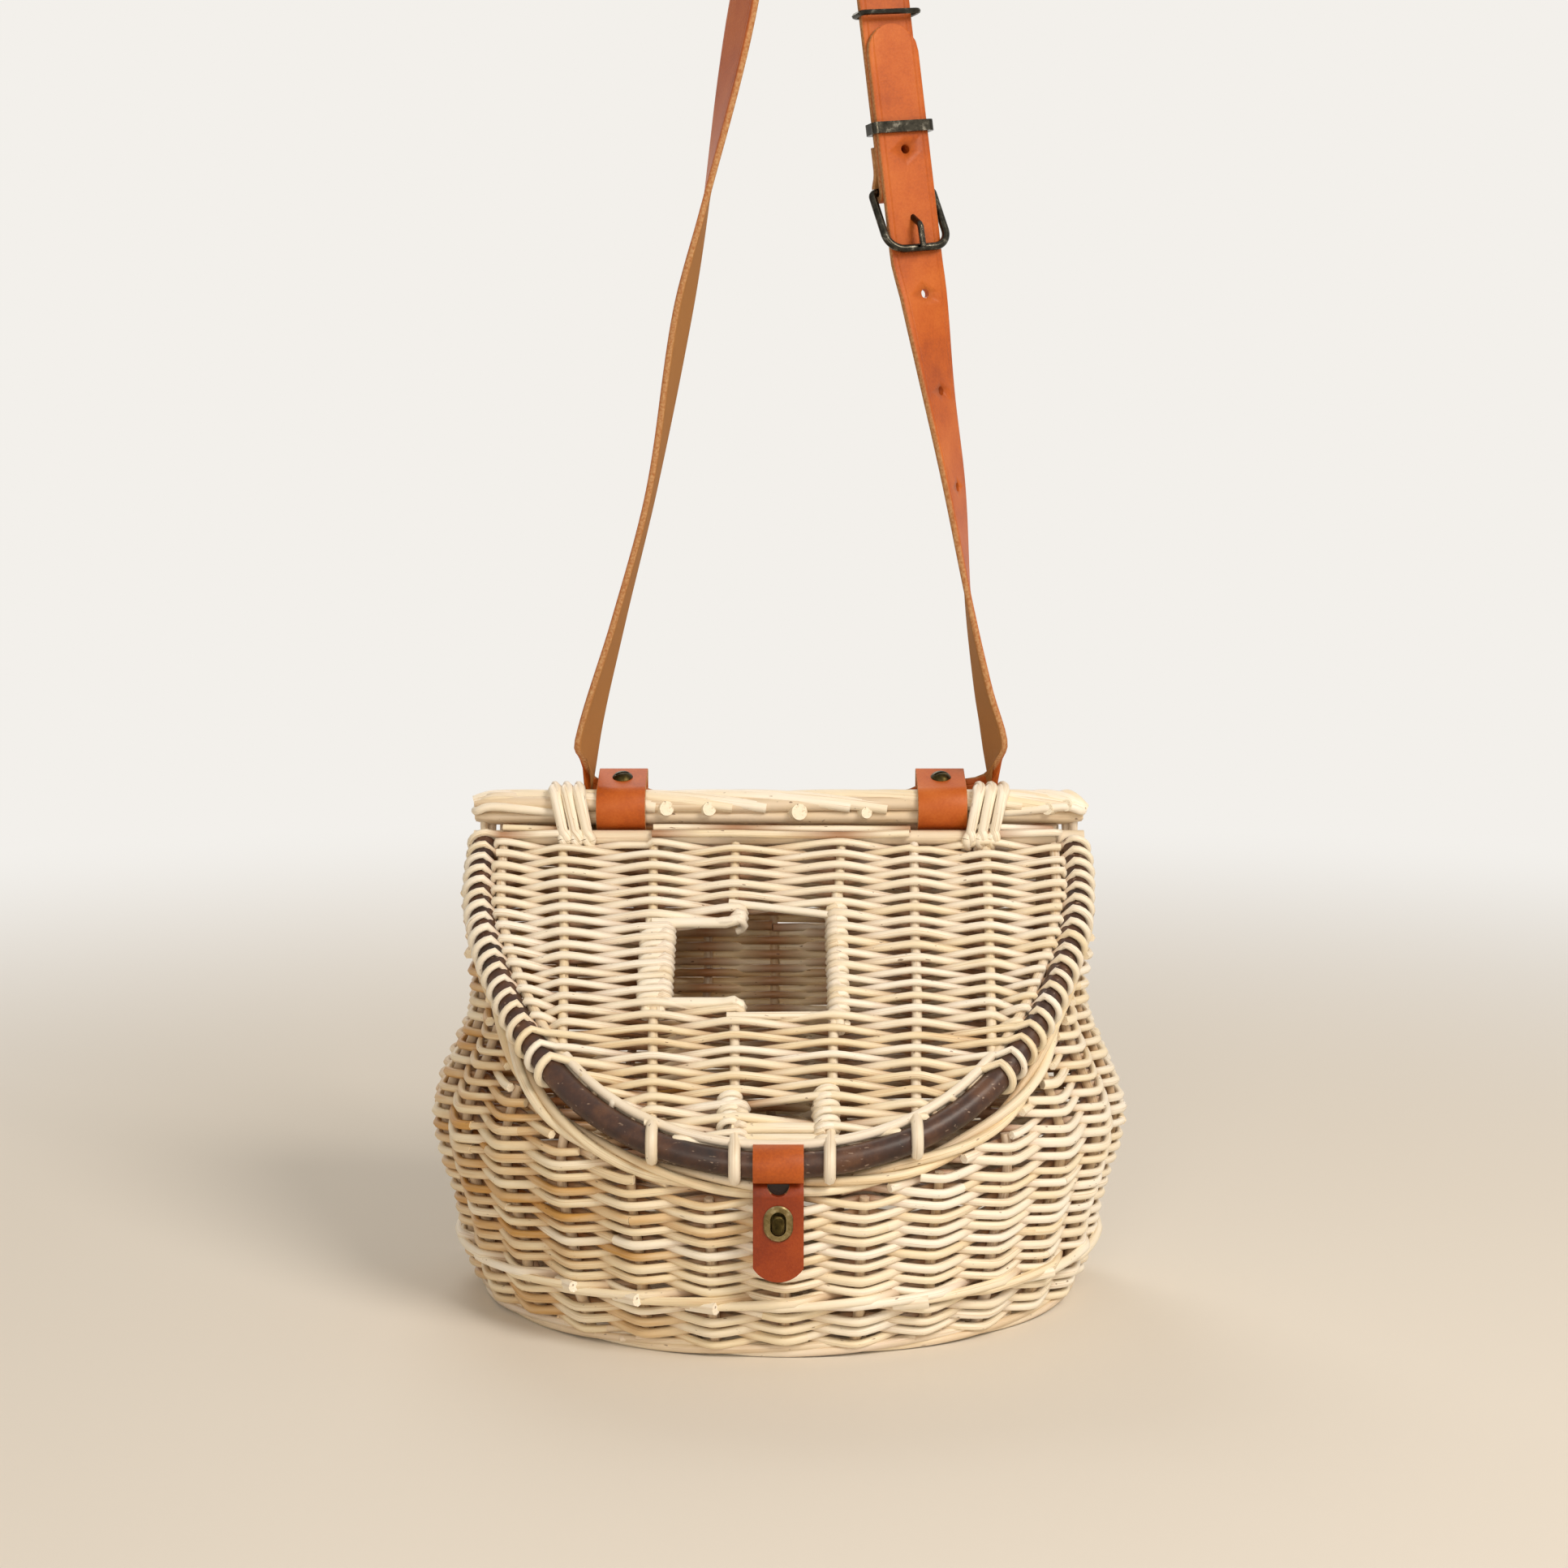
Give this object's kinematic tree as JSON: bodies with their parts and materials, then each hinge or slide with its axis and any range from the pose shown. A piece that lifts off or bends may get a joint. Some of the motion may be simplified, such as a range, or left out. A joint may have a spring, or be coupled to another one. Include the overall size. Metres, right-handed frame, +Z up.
{
  "type": "wicker fishing creel",
  "caption": "Pot-bellied willow basket with a sloping woven lid that has a square hole, a leather latch tongue over a turn button, and a buckled shoulder strap.",
  "frame": {"origin": "centre of the bounding box at the underside of the basket's foot border", "axes": "+Z up, +X to the right as seen from the front, -Y out of the front of the basket, so the flat back that lies against the wearer or the wall looks along +Y"},
  "size_m": [0.3064, 0.1762, 0.706],
  "materials": {
    "peeled_willow": "satin",
    "brown_willow": "satin",
    "tan_leather": "satin",
    "antique_brass": "satin",
    "gunmetal_steel": "gloss"
  },
  "bodies": {
    "basket": {"foot_border": "peeled_willow", "base_panel": "peeled_willow", "lower_wale": "peeled_willow", "side_wall": "peeled_willow", "rim_border": "peeled_willow", "back_border": "peeled_willow", "hinge_loops_left": "peeled_willow", "hinge_loops_right": "peeled_willow", "strap_loop_left": "tan_leather", "strap_loop_right": "tan_leather", "loop_screw_left": "antique_brass", "loop_screw_right": "antique_brass", "lock_plate": "antique_brass", "lock_washer": "antique_brass", "shoulder_strap": "tan_leather", "buckle_frame": "gunmetal_steel", "fold_rivets": "antique_brass"},
    "lid": {"lid_bow": "brown_willow", "lid_back_rod": "brown_willow", "lid_sticks": "peeled_willow", "hole_bindings": "peeled_willow", "lid_weave": "peeled_willow"},
    "latch": {"latch_tongue": "tan_leather", "latch_eyelet": "antique_brass"},
    "button": {"turn_button": "antique_brass"},
    "prong": {"buckle_prong": "gunmetal_steel"},
    "lower_keeper": {"keeper_lower": "gunmetal_steel"},
    "upper_keeper": {"keeper_upper": "gunmetal_steel"}
  },
  "joints": [
    {"name": "lid_hinge", "type": "hinge", "parent": "basket", "child": "lid", "pos_m": [0, 0.06112, 0.198], "axis": [-1, 0, 0], "range_deg": [0, 95]},
    {"name": "latch_swing", "type": "hinge", "parent": "lid", "child": "latch", "pos_m": [0, -0.07877, 0.08512], "axis": [-1, 0, 0], "range_deg": [0, 100]},
    {"name": "button_turn", "type": "hinge", "parent": "basket", "child": "button", "pos_m": [0, -0.08, 0.063], "axis": [0, -1, 0], "range_deg": [0, 90]},
    {"name": "prong_pivot", "type": "hinge", "parent": "basket", "child": "prong", "pos_m": [0.05554, 0.07578, 0.49077], "axis": [-0.9058, -0.4092, -0.1096], "range_deg": [0, 2]},
    {"name": "lower_keeper_slide", "type": "slide", "parent": "basket", "child": "lower_keeper", "axis": [-0.1201, 0, 0.9928], "range_m": [-0.004, 0.018]},
    {"name": "upper_keeper_slide", "type": "slide", "parent": "basket", "child": "upper_keeper", "axis": [-0.1201, 0, 0.9928], "range_m": [-0.018, 0.008]}
  ]
}
